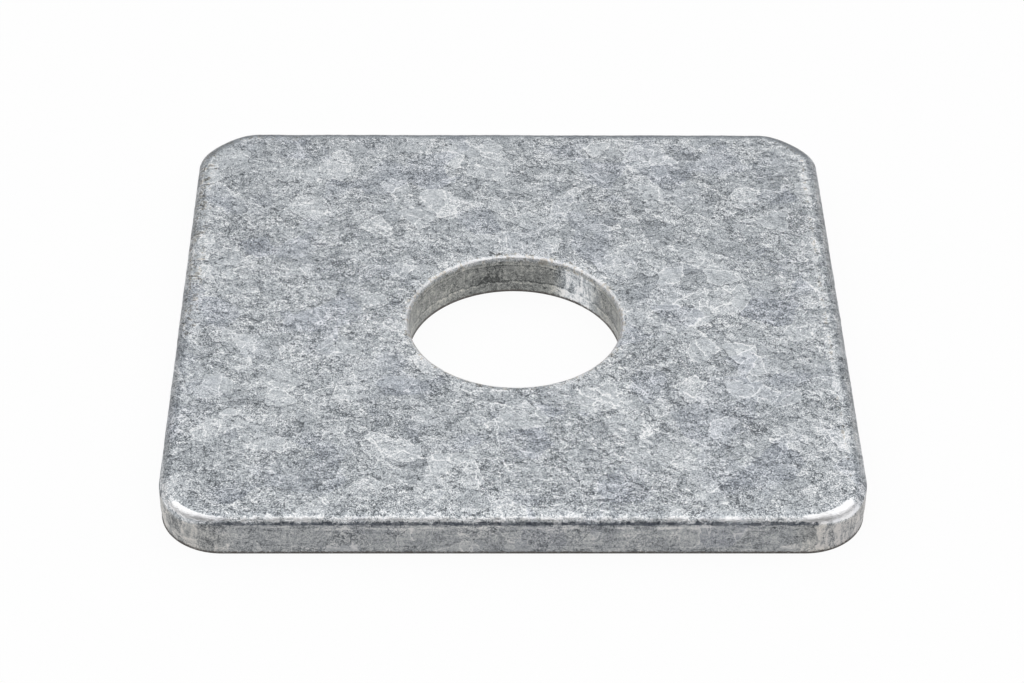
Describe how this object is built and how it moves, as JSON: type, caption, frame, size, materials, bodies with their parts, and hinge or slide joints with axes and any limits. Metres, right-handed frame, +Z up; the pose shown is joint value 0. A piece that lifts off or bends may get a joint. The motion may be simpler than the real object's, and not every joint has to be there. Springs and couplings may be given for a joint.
{
  "type": "square plate washer",
  "caption": "Flat square plate washer in hot-dip galvanised steel, with rounded corners, a rolled-over top edge and a round punched hole for a bolt.",
  "frame": {"origin": "middle of the plate's underside, as it lies flat", "axes": "+Z up through the plate's thickness, +X to the right along the back and front sides, -Y towards the viewer in the picture"},
  "size_m": [0.05, 0.048, 0.0034],
  "materials": {
    "galvanised_zinc": "hot-dip galvanised, dull light grey with a fine mottled spangle"
  },
  "bodies": {
    "root": {"plate_washer": "galvanised_zinc"}
  },
  "joints": []
}
